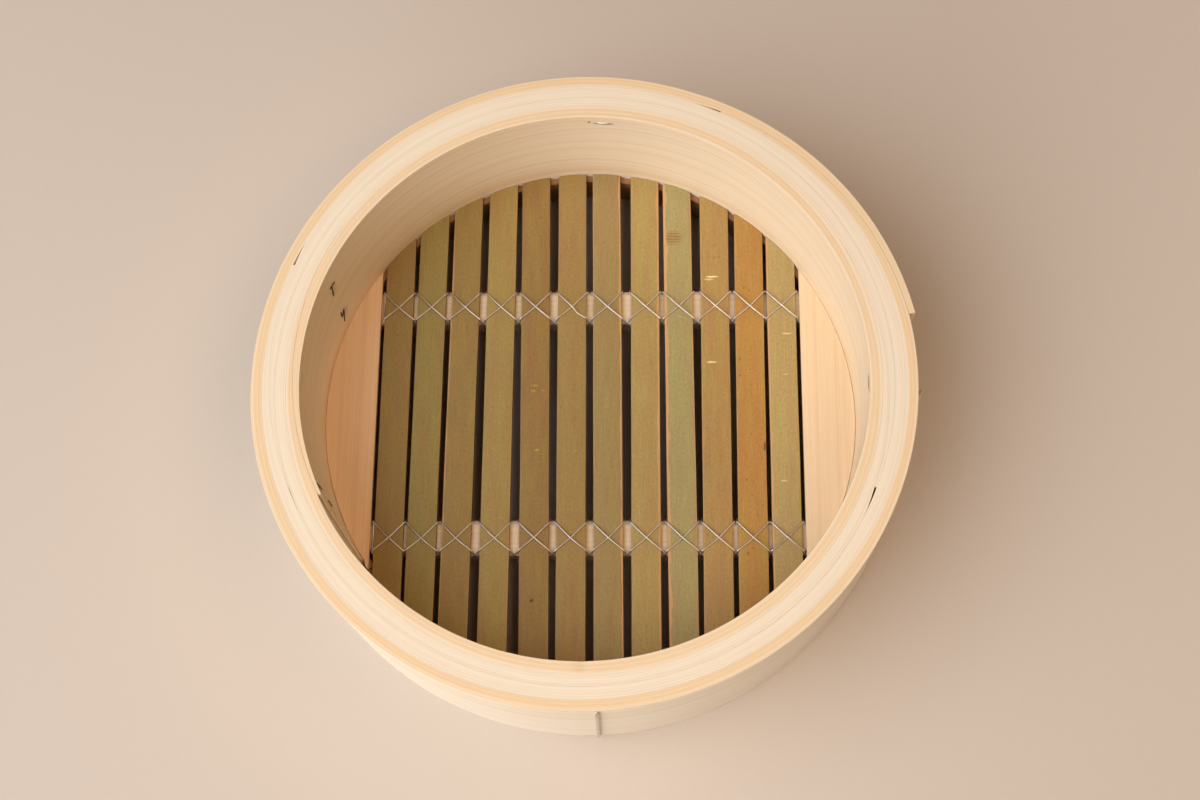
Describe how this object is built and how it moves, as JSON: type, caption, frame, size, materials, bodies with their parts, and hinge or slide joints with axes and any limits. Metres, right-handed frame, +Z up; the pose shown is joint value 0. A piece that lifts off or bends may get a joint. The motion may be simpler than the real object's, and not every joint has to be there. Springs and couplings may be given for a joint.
{
  "type": "steamer basket",
  "caption": "Round single-tier steamer basket: lapped bentwood hoop wall, drop-in floor of bamboo slats laced with wire to crossbars, open top and bottom for steam.",
  "frame": {"origin": "centre of the round foot, on the surface the basket stands on", "axes": "+Z up along the axis of the wall, +Y along the slats towards the far side, +X to the right across the slats"},
  "size_m": [0.2433, 0.2428, 0.067],
  "materials": {
    "hoop_wood": "bare planed pale softwood, fine straight grain along the hoop",
    "board_wood": "bare planed softwood, warmer and pinker, fine straight grain",
    "bamboo": "bamboo skin, olive to brown, satin, with specks and scratches",
    "bar_wood": "bare pale softwood, rounded and sanded",
    "lacing_wire": "thin bright stainless wire",
    "staple_wire": "thicker drawn steel wire, dulled",
    "stitch_wire": "dark iron wire, sunk in the wood"
  },
  "bodies": {
    "wall": {"outer_hoop": "hoop_wood", "second_hoop": "hoop_wood", "third_hoop": "hoop_wood", "inner_hoop": "hoop_wood", "floor_ring": "hoop_wood", "right_staple": "staple_wire", "rear_staple": "staple_wire", "left_staple": "staple_wire", "front_staple": "staple_wire", "rear_upper_lap_stitch": "stitch_wire", "rear_lower_lap_stitch": "stitch_wire", "front_upper_lap_stitch": "stitch_wire", "front_lower_lap_stitch": "stitch_wire"},
    "floor": {"left_floor_board": "board_wood", "right_floor_board": "board_wood", "slat_01": "bamboo", "slat_02": "bamboo", "slat_03": "bamboo", "slat_04": "bamboo", "slat_05": "bamboo", "slat_06": "bamboo", "slat_07": "bamboo", "slat_08": "bamboo", "slat_09": "bamboo", "slat_10": "bamboo", "slat_11": "bamboo", "slat_12": "bamboo", "rear_crossbar": "bar_wood", "front_crossbar": "bar_wood", "rear_lacing_wire": "lacing_wire", "front_lacing_wire": "lacing_wire"}
  },
  "joints": [
    {"name": "floor_lift", "type": "slide", "parent": "wall", "child": "floor", "axis": [0, 0, 1], "range_m": [0, 0.075]}
  ]
}
